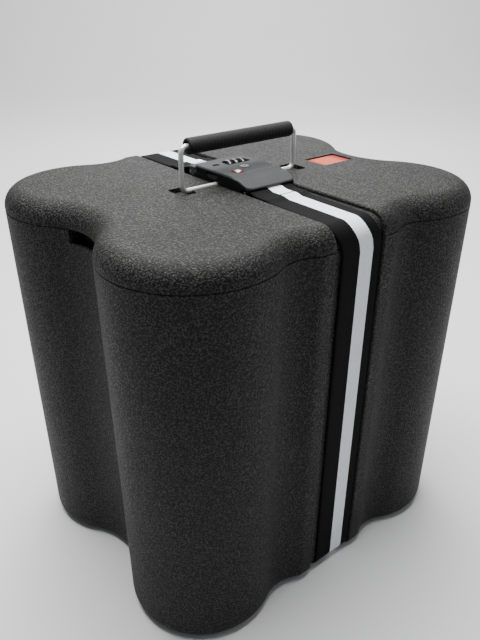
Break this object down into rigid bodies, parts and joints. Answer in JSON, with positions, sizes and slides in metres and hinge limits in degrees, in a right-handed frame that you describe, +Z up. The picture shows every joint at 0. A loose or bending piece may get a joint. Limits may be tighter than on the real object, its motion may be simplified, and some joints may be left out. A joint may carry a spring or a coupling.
{
  "type": "bottle carrying case",
  "caption": "Moulded four-lobed bottle carrying case with a lift-off lid, a strap in a channel all round, a combination strap lock and a folding wire handle.",
  "frame": {"origin": "centre of the case's box, on the plane that it stands on", "axes": "+Z up, front towards -Y, the strap runs in the YZ plane and the handle lies along X"},
  "size_m": [0.395, 0.328, 0.4353],
  "materials": {
    "case_plastic": "pebbled moulded texture",
    "pad_foam": "dense closed-cell foam",
    "divider_board": "fluted board, smooth",
    "webbing": "woven webbing with a pale centre stripe",
    "wire_steel": "bright zinc plate",
    "grip_rubber": "matt, faintly ribbed",
    "lock_plastic": "fine satin",
    "badge_plate": "gloss, plain",
    "pin_steel": "drawn",
    "dial_plastic": "satin with pale digits",
    "control_metal": "bright plated",
    "sleeve_brass": "turned"
  },
  "bodies": {
    "base": {"base_shell": "case_plastic", "base_pad": "pad_foam", "long_divider_front": "divider_board", "long_divider_rear": "divider_board", "cross_divider_left": "divider_board", "cross_divider_centre": "divider_board", "cross_divider_right": "divider_board", "strap_base_run": "webbing"},
    "lid": {"lid_shell": "case_plastic", "lid_pad": "pad_foam", "badge_plate": "badge_plate", "strap_top_front": "webbing", "strap_top_rear": "webbing", "lock_base": "lock_plastic", "lock_cover": "lock_plastic", "lock_screws": "pin_steel", "front_strap_pin": "pin_steel", "dial_shaft": "pin_steel", "detent_spring": "sleeve_brass", "button_spring": "pin_steel", "lock_disc": "control_metal"},
    "handle": {"handle_wire": "wire_steel", "handle_grip": "grip_rubber"},
    "tongue": {"tongue": "lock_plastic", "rear_strap_pin": "pin_steel"},
    "prong_left": {"prong_left": "lock_plastic"},
    "prong_right": {"prong_right": "lock_plastic"},
    "dial_1": {"dial_1": "dial_plastic", "code_sleeve_1": "sleeve_brass"},
    "dial_2": {"dial_2": "dial_plastic", "code_sleeve_2": "sleeve_brass"},
    "dial_3": {"dial_3": "dial_plastic", "code_sleeve_3": "sleeve_brass"},
    "reset_button": {"reset_button": "dial_plastic"},
    "key_plug": {"key_plug": "control_metal"}
  },
  "joints": [
    {"name": "lid_lift", "type": "slide", "parent": "base", "child": "lid", "axis": [0, 0, 1], "range_m": [0, 0.12]},
    {"name": "handle_fold", "type": "hinge", "parent": "lid", "child": "handle", "pos_m": [0, 0, 0.3873], "axis": [1, 0, 0], "range_deg": [-57, 62]},
    {"name": "tongue_release", "type": "slide", "parent": "lid", "child": "tongue", "axis": [0, 1, 0], "range_m": [0, 0.045], "deforming": ["strap_top_rear", "prong_left", "prong_right"]},
    {"name": "prong_left_press", "type": "hinge", "parent": "tongue", "child": "prong_left", "pos_m": [-0.0242, 0.016, 0.3935], "axis": [0, 0, 1], "range_deg": [0, 7], "stiffness_Nm_per_rad": 0.3},
    {"name": "prong_right_press", "type": "hinge", "parent": "tongue", "child": "prong_right", "pos_m": [0.0242, 0.016, 0.3935], "axis": [0, 0, -1], "range_deg": [0, 7], "stiffness_Nm_per_rad": 0.3},
    {"name": "dial_1_turn", "type": "hinge", "parent": "lid", "child": "dial_1", "pos_m": [-0.002, 0.018, 0.3959], "axis": [1, 0, 0], "continuous": true},
    {"name": "dial_2_turn", "type": "hinge", "parent": "lid", "child": "dial_2", "pos_m": [0.006, 0.018, 0.3959], "axis": [1, 0, 0], "continuous": true},
    {"name": "dial_3_turn", "type": "hinge", "parent": "lid", "child": "dial_3", "pos_m": [0.014, 0.018, 0.3959], "axis": [1, 0, 0], "continuous": true},
    {"name": "reset_press", "type": "slide", "parent": "lid", "child": "reset_button", "axis": [0, 0, -1], "range_m": [0, 0.0015], "stiffness_N_per_m": 300, "deforming": ["button_spring"]},
    {"name": "key_turn", "type": "hinge", "parent": "lid", "child": "key_plug", "pos_m": [0.003, -0.002, 0.4], "axis": [0, 0, 1], "range_deg": [0, 90]}
  ]
}
